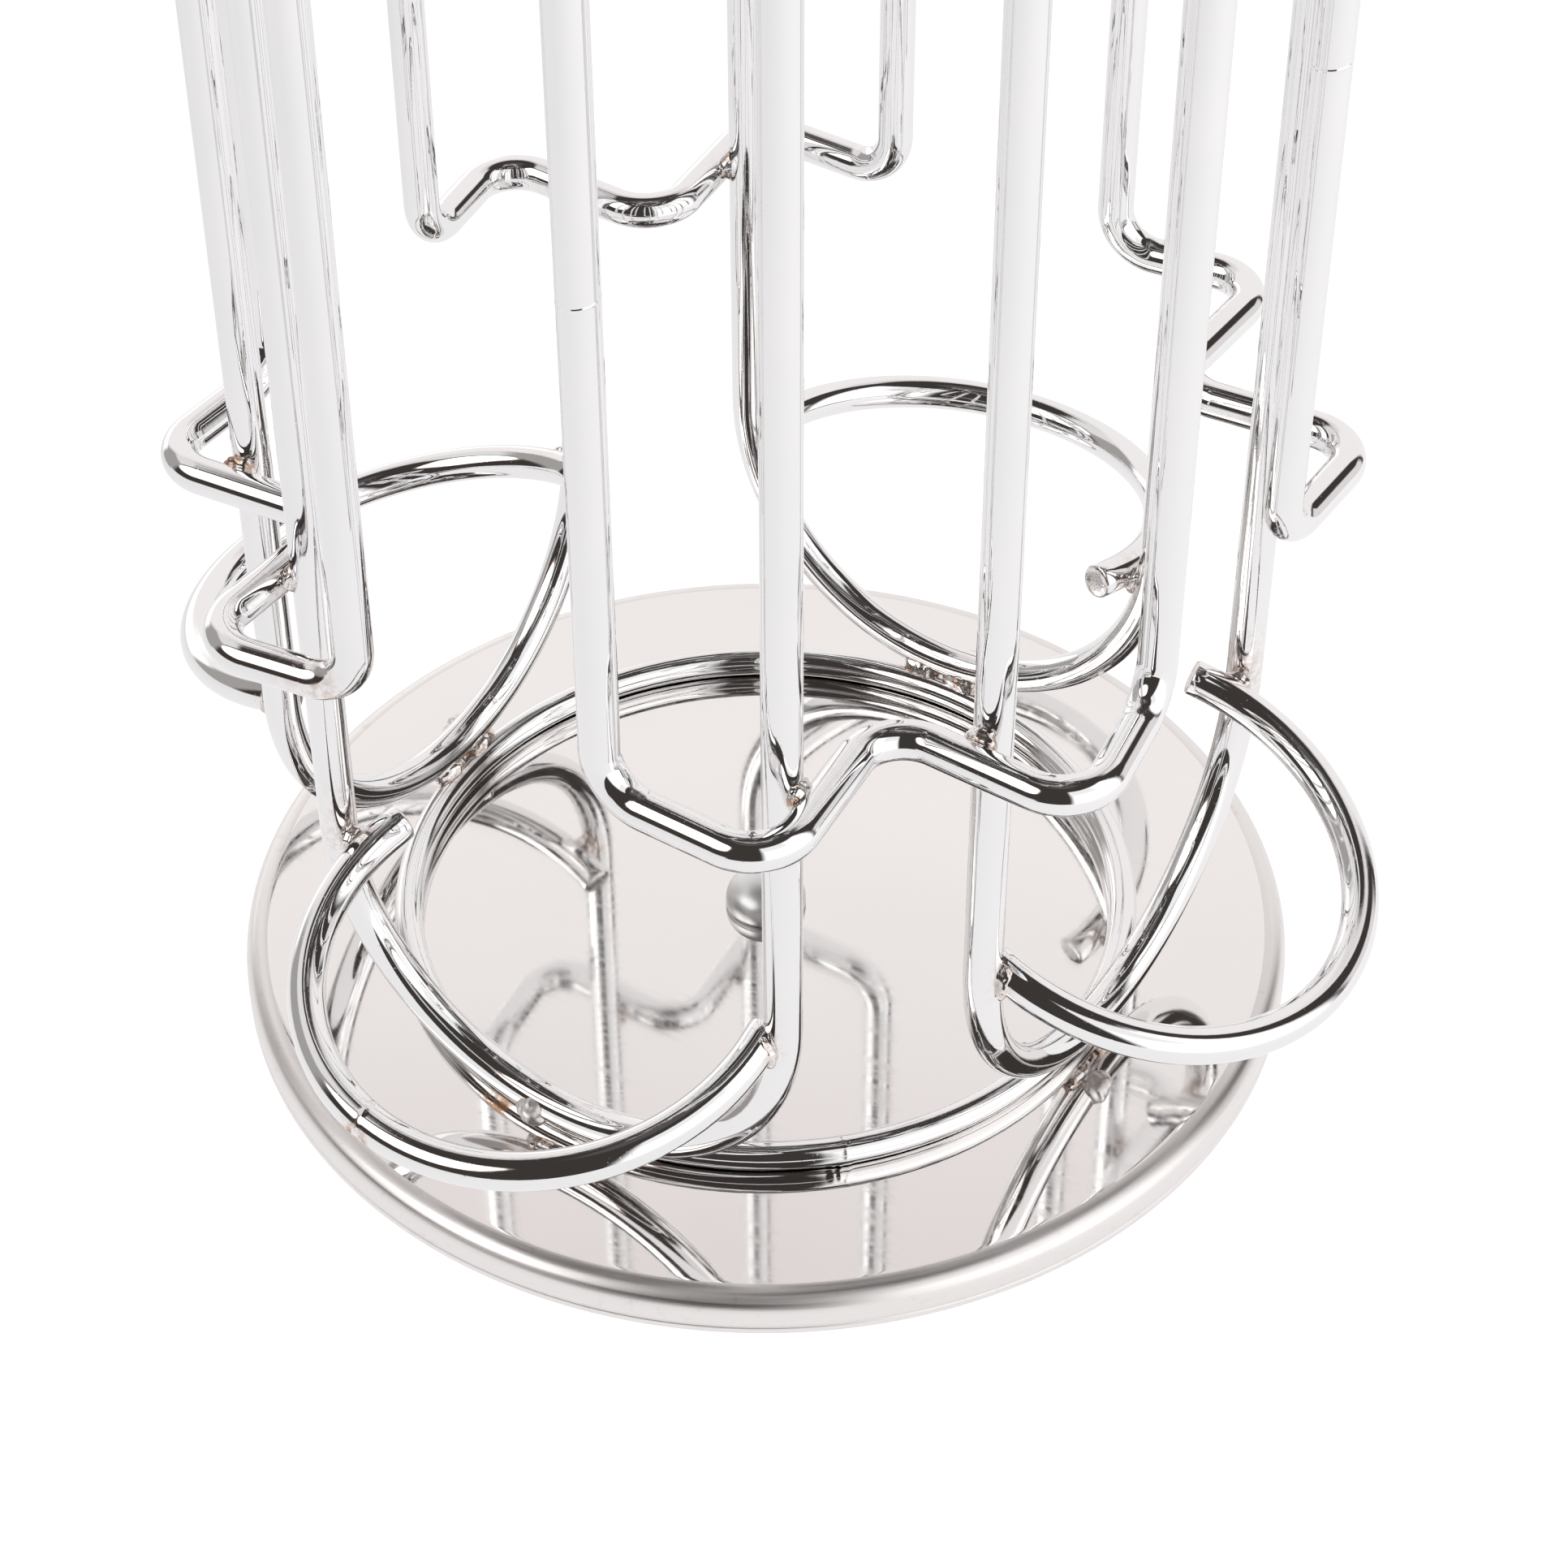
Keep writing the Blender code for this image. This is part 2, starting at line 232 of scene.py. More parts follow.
def polished_sheet():
    """Stainless sheet polished to a mirror, with the faint straight grain that polishing leaves."""
    g, place = new_material("polished_sheet", 1.0)
    grain = g.noise(place, 90.0, 5.0, 0.6, (0.12, 9.0, 1.0))
    cloud = g.noise(place, 26.0, 3.0)
    tone = g.mix(g.ramp(cloud, 0.3, 0.7), (0.862, 0.845, 0.835), (0.88, 0.865, 0.855))
    haze = g.ramp(grain, 0.3, 0.75, 0.03, 0.075)
    return g.finish(tone, haze, g.bump(grain, 0.0000009))


def rolled_edge():
    """The disc's rolled rim: the same sheet, satin from the rolling tool, with lines round the edge."""
    g, place = new_material("rolled_edge", 1.0)
    split = g.node("ShaderNodeSeparateXYZ", {0: place})
    around = g.math("MULTIPLY", g.math("ARCTAN2", split.outputs["Y"], split.outputs["X"]), 1.2)
    down = g.math("MULTIPLY", split.outputs["Z"], 2600.0)
    lines = g.noise(g.node("ShaderNodeCombineXYZ", {"X": around, "Y": down}).outputs[0], 1.0, 5.0, 0.65)
    scuff = g.ramp(g.noise(place, 420.0, 4.0, 0.7), 0.58, 0.72)
    tone = g.mix(lines, (0.80, 0.775, 0.765), (0.89, 0.87, 0.86))
    tone = g.mix(g.math("MULTIPLY", scuff, 0.3), tone, (0.64, 0.60, 0.58))
    haze = g.ramp(lines, 0.3, 0.7, 0.27, 0.41)
    return g.finish(tone, haze, g.bump(lines, 0.000012, 0.7))


def plain_steel():
    """Zinc-plated pressed steel, with a soft spangle and dull clouds."""
    g, place = new_material("plain_steel", 1.0)
    cells = g.node("ShaderNodeTexVoronoi", {"Vector": place, "Scale": 260.0})
    spangle = g.mix(cells.outputs["Color"], (0.56, 0.57, 0.58), (0.68, 0.68, 0.67))
    cloud = g.noise(place, 55.0, 4.0, 0.6)
    tone = g.mix(g.ramp(cloud, 0.35, 0.7), spangle, (0.60, 0.58, 0.54))
    haze = g.ramp(cloud, 0.3, 0.7, 0.26, 0.42)
    return g.finish(tone, haze, g.bump(g.noise(place, 900.0, 3.0), 0.00002, 0.5))


def bearing_steel():
    """Ground and hardened steel: darker, finely polished, with a film of oil."""
    g, place = new_material("bearing_steel", 1.0)
    film = g.noise(place, 120.0, 3.0)
    tone = g.mix(film, (0.52, 0.53, 0.55), (0.64, 0.63, 0.62))
    haze = g.ramp(film, 0.3, 0.7, 0.08, 0.2)
    return g.finish(tone, haze, g.bump(g.noise(place, 1800.0, 2.0), 0.000004, 0.5))


def black_rubber():
    """Moulded rubber, matt, with patches of dust."""
    g, place = new_material("black_rubber", 0.0)
    dust = g.ramp(g.noise(place, 380.0, 5.0, 0.7), 0.45, 0.75)
    tone = g.mix(dust, (0.022, 0.022, 0.023), (0.075, 0.072, 0.068))
    haze = g.ramp(dust, 0.0, 1.0, 0.62, 0.9)
    g.shader.inputs["Specular IOR Level"].default_value = 0.35
    return g.finish(tone, haze, g.bump(g.noise(place, 2200.0, 3.0), 0.00004, 0.6))


def white_nylon():
    """Off-white nylon, slightly waxy."""
    g, place = new_material("white_nylon", 0.0)
    cloud = g.noise(place, 210.0, 4.0)
    tone = g.mix(cloud, (0.78, 0.77, 0.71), (0.86, 0.85, 0.80))
    haze = g.ramp(cloud, 0.3, 0.7, 0.38, 0.52)
    g.shader.inputs["Subsurface Weight"].default_value = 0.12
    g.shader.inputs["Subsurface Radius"].default_value = (0.002, 0.0018, 0.0014)
    return g.finish(tone, haze, g.bump(g.noise(place, 1500.0, 2.0), 0.00001, 0.5))


CHROME = chrome_plate("chrome_plate", 0.02, 0.055)
HAZY_CHROME = chrome_plate("chrome_plate_hazy", 0.36, 0.44)
WELD = weld_metal("weld_metal", (0.50, 0.36, 0.28))
CLEAN_WELD = weld_metal("weld_metal_clean", (0.66, 0.59, 0.55))
HAZY_WELD = weld_metal("weld_metal_hazy", (0.80, 0.76, 0.74), 0.32, 0.48)
POLISHED = polished_sheet()
EDGE = rolled_edge()
STEEL = plain_steel()
BEARING = bearing_steel()
RUBBER = black_rubber()
NYLON = white_nylon()

# -------- shapes


def frame_at(degrees):
    """Outward and sideways directions at an angle from the front, turning towards +X."""
    angle = math.radians(degrees)
    outward = Vector((math.sin(angle), -math.cos(angle), 0.0))
    sideways = Vector((math.cos(angle), math.sin(angle), 0.0))
    return outward, sideways


class Path:
    """A centreline of straight parts and circular arcs, known at any distance along it."""

    def __init__(self, closed):
        self.closed = closed
        self.parts = []
        self.length = 0.0

    def line(self, start, end):
        span = (end - start).length
        if span > 1e-6:
            self.parts.append((self.length, span, start, (end - start) / span, None, 0.0, 0.0, 0.0))
            self.length += span
        return self

    def arc(self, centre, first, second, radius, start, end):
        begin, sweep = math.radians(start), math.radians(end - start)
        span = abs(sweep) * radius
        self.parts.append((self.length, span, centre, first.copy(), second.copy(), radius, begin, sweep))
        self.length += span
        return self

    def at(self, along):
        """The point and the direction at a distance along the path."""
        along = along % self.length if self.closed else min(max(along, 0.0), self.length)
        for start, span, origin, first, second, radius, begin, sweep in self.parts:
            if along <= start + span + 1e-9:
                break
        travelled = (along - start) / span
        if second is None:
            return origin + first * (travelled * span), first
        angle = begin + sweep * travelled
        point = origin + (first * math.cos(angle) + second * math.sin(angle)) * radius
        way = (second * math.cos(angle) - first * math.sin(angle)) * math.copysign(1.0, sweep)
        return point, way

    def stations(self, marks, turn=3.0, longest=12.0, fine=0.07, least=0.03):
        """Distances to place rings of vertices at: close in arcs and closest around each mark."""
        found = [self.length] if not self.closed else []
        for start, span, _, _, second, _, _, sweep in self.parts:
            pieces = math.ceil(span / longest)
            if second is not None:
                pieces = max(pieces, math.ceil(abs(math.degrees(sweep)) / turn))
            found += [start + span * k / pieces for k in range(pieces)]
        for mark, reach in marks:
            steps = math.ceil(reach / fine)
            for k in range(-steps, steps + 1):
                along = mark + k * fine
                found.append(along % self.length if self.closed else along)
        found = sorted(f for f in found if 0.0 <= f <= self.length)
        kept = []
        for f in found:
            if not kept or f - kept[-1] > least:
                kept.append(f)
        if not self.closed:
            kept[-1] = self.length
        return kept

    def dense(self, step=0.5):
        """Points every half millimetre or so, with their distances and directions."""
        count = round(self.length / step)
        distances = np.arange(count + (not self.closed)) * self.length / count
        places = [self.at(along) for along in distances]
        points = np.array([place[0] for place in places])
        return points, distances, np.array([place[1] for place in places])


def bend_corners(corners, radius):
    """A closed path through the corners, each corner rounded with an arc."""
    path = Path(True)
    count = len(corners)
    bends = []
    for i, corner in enumerate(corners):
        back = (corners[i - 1] - corner).normalized()
        ahead = (corners[(i + 1) % count] - corner).normalized()
        half = back.angle(ahead) / 2.0
        inset = radius / math.tan(half)
        centre = corner + (back + ahead).normalized() * (radius / math.sin(half))
        start = corner + back * inset
        end = corner + ahead * inset
        first = (start - centre).normalized()
        axis = (start - centre).cross(end - centre).normalized()
        sweep = math.degrees((start - centre).angle(end - centre))
        bends.append((start, end, centre, first, axis.cross(first), sweep))
    for i, (start, end, centre, first, second, sweep) in enumerate(bends):
        path.arc(centre, first, second, radius, 0.0, sweep)
        path.line(end, bends[(i + 1) % count][0])
    return path


def add_piece(name, mesh, look, body, nodes):
    piece = bpy.data.objects.new(name, mesh)
    bpy.context.scene.collection.objects.link(piece)
    if not mesh.materials:
        mesh.materials.append(look)
    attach(piece, body)
    if nodes:
        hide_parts(*nodes)
    return piece


def sweep_frames(tangents, closed):
    """A pair of cross directions at each tangent, carried along without twisting."""
    side = tangents[0].orthogonal().normalized()
    frames = []
    for i, tangent in enumerate(tangents):
        if i:
            side = tangents[i - 1].rotation_difference(tangent) @ side
        side = (side - tangent * side.dot(tangent)).normalized()
        frames.append((side.copy(), tangent.cross(side)))
    if closed:
        carried = tangents[-1].rotation_difference(tangents[0]) @ side
        first = frames[0][0]
        twist = math.atan2(carried.cross(first).dot(tangents[0]), carried.dot(first))
        for i, tangent in enumerate(tangents):
            a = Matrix.Rotation(twist * i / len(tangents), 3, tangent) @ frames[i][0]
            frames[i] = (a, tangent.cross(a))
    return frames


def stain_at(place, spots):
    """How browned the metal is at a place, from spots of (place, reach, strength)."""
    strongest = 0.0
    for centre, reach, strength in spots:
        far = (place - centre).length / reach
        if far < 1.0:
            strongest = max(strongest, strength * (1.0 - far) ** 1.5)
    return strongest


# The rounded rim of a wire's cut end: how far in from its side, and how far out past its end.
CUT_RIM = ((0.12, 0.22), (0.38, 0.36), (1.1, 0.42))


def wire(name, path, diameter, node, seams=(), spots=(), bumps=(), scuffs=(), sides=36):
    """A round wire swept along the path.

    A seam is a butt weld's thin ridge: (distance along, height, width, slant). A bump is a small swelling:
    (distance along, place, height, reach). A spot is browned metal and a scuff a dulled tool mark, both
    (place, reach, strength).
    """
    radius = diameter / 2.0
    marks = [(seam[0], 3.0 * seam[2] + abs(seam[3])) for seam in seams]
    marks += [(bump[0], 2.2 * bump[3]) for bump in bumps]
    distances = path.stations(marks)
    places = [path.at(along) for along in distances]
    frames = sweep_frames([place[1] for place in places], path.closed)
    verts, stains, dulled = [], [], []
    for along, (point, tangent), (a, b) in zip(distances, places, frames):
        for k in range(sides):
            angle = math.tau * k / sides
            around = a * math.cos(angle) + b * math.sin(angle)
            swell = 0.0
            for mark, height, width, slant in seams:
                off = (along - mark - slant * math.cos(angle)) / width
                swell += height * math.exp(-off * off)
            for _, summit, height, reach in bumps:
                off = (point + around * radius - summit).length / reach
                swell += height * math.exp(-off * off)
            place = point + around * (radius + swell)
            verts.append(place * MM)
            stains.append(stain_at(place, spots))
            dulled.append(stain_at(place, scuffs))
    rings = len(places)
    faces = []
    for i in range(rings if path.closed else rings - 1):
        low, high = i * sides, ((i + 1) % rings) * sides
        for k in range(sides):
            n = (k + 1) % sides
            faces.append((low + k, low + n, high + n, high + k))
    if not path.closed:
        for end, sign in ((0, -1.0), (rings - 1, 1.0)):
            point, tangent = places[end]
            a, b = frames[end]
            last = end * sides
            for inset, out in CUT_RIM:
                start = len(verts)
                for k in range(sides):
                    angle = math.tau * k / sides
                    around = a * math.cos(angle) + b * math.sin(angle)
                    verts.append((point + around * (radius - inset) + tangent * (sign * out)) * MM)
                    stains.append(0.3)
                    dulled.append(0.6)
                for k in range(sides):
                    n = (k + 1) % sides
                    quad = (last + k, last + n, start + n, start + k)
                    faces.append(quad if sign > 0 else quad[::-1])
                last = start
            cap = tuple(last + k for k in range(sides))
            faces.append(cap if sign > 0 else cap[::-1])
    mesh = bpy.data.meshes.new(name)
    mesh.from_pydata([tuple(v) for v in verts], [], faces)
    stain = mesh.attributes.new("stain", "FLOAT", "POINT")
    stain.data.foreach_set("value", np.array(stains, np.float32))
    scuff = mesh.attributes.new("scuff", "FLOAT", "POINT")
    scuff.data.foreach_set("value", np.array(dulled, np.float32))
    mesh.shade_smooth()
    mesh.set_sharp_from_angle(angle=math.radians(50.0))
    return add_piece(name, mesh, CHROME, "tower", [node])


def quarter(centre, wide, high, start, end, steps):
    """Profile points on an ellipse, angles from +radius towards +height."""
    points = []
    for i in range(steps + 1):
        angle = math.radians(start + (end - start) * i / steps)
        points.append((centre[0] + wide * math.cos(angle), centre[1] + high * math.sin(angle)))
    return points


def soften(profile, radius, closed=True, steps=4):
    """The profile with its corners rounded, each by as much as its sides allow."""
    points = []
    count = len(profile)
    for i, corner in enumerate(profile):
        here = Vector(corner)
        if not closed and i in (0, count - 1):
            points.append(corner)
            continue
        back = Vector(profile[i - 1]) - here
        ahead = Vector(profile[(i + 1) % count]) - here
        if back.length < 1e-6 or ahead.length < 1e-6:
            continue
        inset = min(radius, back.length * 0.45, ahead.length * 0.45)
        first = here + back.normalized() * inset
        last = here + ahead.normalized() * inset
        for k in range(steps + 1):
            t = k / steps
            bent = first * (1 - t) ** 2 + here * (2 * t * (1 - t)) + last * t**2
            points.append((bent.x, bent.y))
    return points


def turned_mesh(name, profile, steps, closed=True, centre=(0.0, 0.0), sharp=35.0):
    """A turned shape from a profile of (radius, height) that runs down its outer side."""
    shape = bmesh.new()
    rings = []
    for radius, height in profile:
        count = 1 if radius < 1e-6 else steps
        ring = []
        for k in range(count):
            angle = math.tau * k / steps
            x = centre[0] + radius * math.cos(angle)
            y = centre[1] + radius * math.sin(angle)
            ring.append(shape.verts.new((x * MM, y * MM, height * MM)))
        rings.append(ring)
    pairs = list(zip(rings, rings[1:]))
    if closed:
        pairs.append((rings[-1], rings[0]))
    for upper, lower in pairs:
        for k in range(steps):
            n = (k + 1) % steps
            corners = [upper[k % len(upper)], lower[k % len(lower)]]
            corners += [lower[n % len(lower)], upper[n % len(upper)]]
            unique = []
            for corner in corners:
                if corner not in unique:
                    unique.append(corner)
            if len(unique) > 2:
                shape.faces.new(unique)
    bmesh.ops.recalc_face_normals(shape, faces=shape.faces)
    mesh = bpy.data.meshes.new(name)
    shape.to_mesh(mesh)
    shape.free()
    mesh.shade_smooth()
    mesh.set_sharp_from_angle(angle=math.radians(sharp))
    return mesh


def turned(name, profile, steps, look, body, node, closed=True, centre=(0.0, 0.0), sharp=35.0):
    mesh = turned_mesh(name, profile, steps, closed, centre, sharp)
    return add_piece(name, mesh, look, body, [node])


# -------- wire paths


def ring_path(height):
    centre = Vector((0.0, 0.0, height))
    return Path(True).arc(centre, Vector((1, 0, 0)), Vector((0, 1, 0)), RING_RADIUS, 0.0, 360.0)


def column_place(index):
    outward, sideways = frame_at(90.0 * index)
    middle = outward * COLUMN_RADIUS + sideways * COLUMN_SHIFT
    turned_out, turned_side = frame_at(90.0 * index + COLUMN_TWIST)
    return middle, turned_out, turned_side


def column_path(index):
    middle, _, sideways = column_place(index)
    half = COLUMN_HALF_WIDTH
    low = middle + UP * (COLUMN_BOTTOM + half)
    high = middle + UP * (COLUMN_TOP - half)
    path = Path(True).arc(low, -sideways, -UP, half, 0.0, 180.0)
    path.line(low + sideways * half, high + sideways * half)
    path.arc(high, sideways, UP, half, 0.0, 180.0)
    return path.line(high - sideways * half, low - sideways * half)


def loop_path(index):
    middle, outward, sideways = column_place(index)
    height, tilt, side = LOOPS[index + 1]
    out = outward * math.cos(math.radians(tilt)) - UP * math.sin(math.radians(tilt))
    butt = sideways * side
    centre = middle + outward * LOOP_OUT + butt * LOOP_ASIDE + UP * (DISC_TOP + height)
    return Path(False).arc(centre, butt, out, LOOP_RADIUS, LOOP_START - LOOP_BITE, LOOP_END)


def along_loop(degrees):
    """How far along a loop's path a place on its arc is."""
    return math.radians(degrees - LOOP_START + LOOP_BITE) * LOOP_RADIUS


def guide_path(index):
    outward, sideways = frame_at(45.0 + 90.0 * index)
    leg, side = GUIDE_LEG
    reach, spread = GUIDE_OUTER
    flat = [
        outward * leg - sideways * side,
        outward * reach - sideways * (spread - GUIDE_SHIFT),
        outward * GUIDE_INNER + sideways * GUIDE_SHIFT,
        outward * reach + sideways * (spread + GUIDE_SHIFT),
        outward * leg + sideways * side,
    ]
    corners = [corner + UP * GUIDE_BOTTOM for corner in flat]
    corners += [corner + UP * GUIDE_TOP for corner in reversed(flat)]
    return bend_corners(corners, GUIDE_BEND)


def nearest(first, second, low=-1e9, high=1e9):
    """Both points and both directions where two dense paths come closest, the first between two heights."""
    pa, _, ta = first
    pb, _, tb = second
    keep = (pa[:, 2] > low) & (pa[:, 2] < high)
    pa, ta = pa[keep], ta[keep]
    gaps = np.linalg.norm(pa[:, None, :] - pb[None, :, :], axis=2)
    i, j = np.unravel_index(np.argmin(gaps), gaps.shape)
    return Vector(pa[i]), Vector(pb[j]), Vector(ta[i]), Vector(tb[j])


def mark_near(path_points, place):
    """Distance along a dense path of its point nearest a place."""
    points, distances, _ = path_points
    return float(distances[np.argmin(np.linalg.norm(points - np.array(place), axis=1))])


# -------- welds

# How far from a guide's end its welds are looked for, and where on its arc a loop enters the leg.
WELD_SEARCH = 12.0
LOOP_ENTRY = -2.2
# Half sizes of the beads: along the seam, beside it, and across the gap between the wires.
GUIDE_BEAD = (2.2, 1.9, 1.2)
BUTT_BEAD = (2.2, 0.95, 1.0)
PASSING_BEAD = (2.1, 2.0, 1.3)
RING_BEAD = (2.9, 2.0, 1.7)
TOE_BEAD = (2.4, 2.15, 2.15)


def bead_into(shape, place, axes, sizes, seed):
    """One weld bead: a lump with ripples across its first axis and an uneven skin."""
    made = bmesh.ops.create_icosphere(shape, subdivisions=4, radius=1.0)
    offset = Vector((seed * 7.3, seed * 3.1, seed * 5.7))
    for vert in made["verts"]:
        unit = vert.co.normalized()
        lumps = noise.noise(unit * 1.3 + offset) * 0.22 + noise.noise(unit * 3.2 + offset) * 0.04
        ripple = 0.07 * abs(math.sin(unit.x * 6.0 + unit.y * unit.y * 2.0 + seed))
        grown = 1.0 + lumps + ripple
        local = Vector((unit.x * sizes[0], unit.y * sizes[1], unit.z * sizes[2])) * grown
        vert.co = (place + axes[0] * local.x + axes[1] * local.y + axes[2] * local.z) * MM


def weld_axes(across, along):
    """Three directions for a bead: along the seam, beside it, and across the gap between the wires."""
    third = across.normalized()
    first = (along - third * along.dot(third)).normalized()
    return first, third.cross(first), third


def weld_piece(name, beads, look):
    shape = bmesh.new()
    for number, (place, axes, sizes) in enumerate(beads):
        bead_into(shape, place, axes, sizes, number + len(name))
    mesh = bpy.data.meshes.new(name)
    shape.to_mesh(mesh)
    shape.free()
    mesh.shade_smooth()
    return add_piece(name, mesh, look, "tower", [])


columns = [column_path(i) for i in range(4)]
guides = [guide_path(i) for i in range(4)]
loops = [loop_path(i) for i in range(4)]
base_ring_path = ring_path(BASE_RING_HEIGHT)
top_ring_path = ring_path(TOP_RING_HEIGHT)
dense_columns = [path.dense() for path in columns]
dense_guides = [path.dense() for path in guides]
dense_loops = [path.dense() for path in loops]
dense_base = base_ring_path.dense()
dense_top = top_ring_path.dense()

# What the welds leave on the wires: browned spots, and each column frame's scuffs.
spots = []
scuffed = [[], [], [], []]


def guide_weld_beads():
    """A bead wherever a guide frame touches a column frame's leg, at the guide's lower and upper end."""
    beads = []
    for i in range(4):
        for j in (i, (i + 3) % 4):
            for end, inward in ((GUIDE_BOTTOM, UP), (GUIDE_TOP, -UP)):
                leg, run, _, way = nearest(
                    dense_columns[i], dense_guides[j], end - WELD_SEARCH, end + WELD_SEARCH
                )
                middle = (leg + run) / 2.0
                beads.append((middle + inward, weld_axes(run - leg, way), GUIDE_BEAD))
                scuffed[i].append((leg, 7.0, 0.55))
                spots.append((middle, 5.0, 0.8))
    return beads


def loop_weld_beads():
    """Two beads a loop: a long one in front, where its butted end enters a leg, and one where it passes
    the other leg."""
    beads = []
    for i in range(4):
        middle, leg_out, leg_side = column_place(i)
        butt = leg_side * LOOPS[i + 1][2]
        entry, _ = loops[i].at(along_loop(LOOP_ENTRY))
        corner = middle + butt * (COLUMN_HALF_WIDTH - 0.4) + leg_out * 3.0
        corner.z = entry.z + 0.4
        seam_way = (butt * 0.34 - UP * 0.94).normalized()
        beads.append((corner, (seam_way, leg_out, seam_way.cross(leg_out)), BUTT_BEAD))
        spots.append((corner, 3.2, 0.5))
        last_sixth = tuple(values[-len(values) // 6 :] for values in dense_loops[i])
        on_loop, on_leg, way, _ = nearest(last_sixth, dense_columns[i])
        middle = (on_loop + on_leg) / 2.0
        beads.append((middle, weld_axes(on_leg - on_loop, way), PASSING_BEAD))
        spots.append((middle, 6.0, 0.8))
    return beads


def ring_weld_beads():
    """Where a column frame's round end rests on a ring: beads on both sides of the contact, and a toe
    outside the wires."""
    beads, toes = [], []
    for i in range(4):
        outward = column_place(i)[1]
        for ring, low, high in ((dense_base, 0.0, 60.0), (dense_top, 330.0, 400.0)):
            on_column, on_ring, way, _ = nearest(dense_columns[i], ring, low, high)
            axes = weld_axes(on_ring - on_column, way)
            towards_ring = UP * math.copysign(0.7, on_ring.z - on_column.z)
            toes.append((on_column - way * 3.2 + outward * 1.6 + towards_ring, axes, TOE_BEAD))
            for side in (-1.0, 1.0):
                middle = (on_column + on_ring) / 2.0 + way * (side * 3.6)
                beads.append((middle, axes, RING_BEAD))
                spots.append((middle, 6.5, 0.7))
    return beads, toes


guide_beads = guide_weld_beads()
loop_beads = loop_weld_beads()
ring_beads, toe_beads = ring_weld_beads()

# -------- tower wires

# Butt seams: on a guide's left leg, on a column frame's left leg, on loop 1 and on the rings. Heights
# are in millimetres, places on round wires in degrees.
GUIDE_SEAM_HEIGHT = 162.0
COLUMN_SEAM_HEIGHT = 290.0
LOOP_SEAM = 102.5
RING_SEAM = 42.5
RING_BURN = -13.0
# Parts of a guide's path: the bends at its legs, and the straight right of its middle.
LEFT_BEND = 0
RIGHT_BEND = 8
RIGHT_STRAIGHT = 5
# The bends at its legs, below and above, and how far along them the bender gripped the wire.
GRIPPED = ((LEFT_BEND, 0.86), (RIGHT_BEND, 0.14), (10, 0.86), (18, 0.14))


def near_spots(dense_path):
    """The browned spots that lie within reach of a path."""
    points = dense_path[0]
    return [spot for spot in spots if np.min(np.linalg.norm(points - np.array(spot[0]), axis=1)) < 12.0]


def guide_wire(i):
    """A guide frame: a butt seam on one leg, wrinkles and scuffs inside its bends, brown at its welds.

    The front one also has a rusty bend and three drips of plating, and the fourth a browned bend."""
    path = guides[i]
    outward, sideways = frame_at(45.0 + 90.0 * i)
    on_leg = outward * GUIDE_LEG[0] - sideways * GUIDE_LEG[1] + UP * GUIDE_SEAM_HEIGHT
    seams = [(mark_near(dense_guides[i], on_leg), 0.06, 0.16, 0.35)]
    worn = near_spots(dense_guides[i]) + [(on_leg, 2.2, 0.35)]
    bumps, scuffs = [], []
    for part, share in GRIPPED:
        start, span, bend_centre = path.parts[part][:3]
        along = start + span * share
        point, _ = path.at(along)
        inside = point + (bend_centre - point).normalized() * (WIRE / 2.0)
        bumps.append((along, inside, 0.17, 0.8))
        scuffs.append((inside, 2.0, 1.0))
    if i == 0:
        start, span, bend_centre = path.parts[LEFT_BEND][:3]
        point, _ = path.at(start + span * 0.1)
        worn.append((point + (point - bend_centre).normalized() * (WIRE / 2.0), 2.2, 1.4))
        start, span = path.parts[RIGHT_STRAIGHT][:2]
        for share, height in ((0.50, 0.09), (0.56, 0.12), (0.60, 0.08)):
            along = start + span * share
            drip = path.at(along)[0] + outward * 2.0 - UP * (1.2 + 4.0 * (share - 0.5))
            bumps.append((along, drip, height, 0.3))
    if i == 3:
        worn.append((path.at(path.parts[RIGHT_BEND][0] + 3.0)[0], 6.0, 1.0))
    wire(f"guide_wire_{i + 1}", path, WIRE, f"guide_frame_{i + 1}", seams, worn, bumps, scuffs)


def column_wire(i):
    """A column frame: a butt seam high on one leg, brown and scuffs at its welds."""
    middle, _, sideways = column_place(i)
    on_leg = middle - sideways * COLUMN_HALF_WIDTH + UP * COLUMN_SEAM_HEIGHT
    seams = [(mark_near(dense_columns[i], on_leg), 0.06, 0.16, -0.3)]
    worn = near_spots(dense_columns[i])
    wire(f"column_wire_{i + 1}", columns[i], WIRE, f"column_frame_{i + 1}", seams, worn, scuffs=scuffed[i])


def loop_wire(i):
    """A catch loop, brown at its welds. The first one also has a butt seam, and rust that ran from it."""
    seams, worn = [], near_spots(dense_loops[i])
    if i == 0:
        along = along_loop(LOOP_SEAM)
        point, _ = loops[0].at(along)
        seams.append((along, 0.06, 0.35, 0.8))
        worn.append((point, 3.2, 0.9))
        worn.append((point + column_place(0)[1] * 2.3 - UP * 0.6, 3.0, 3.0))
    wire(f"loop_wire_{i + 1}", loops[i], WIRE, f"catch_loop_{i + 1}", seams, worn)


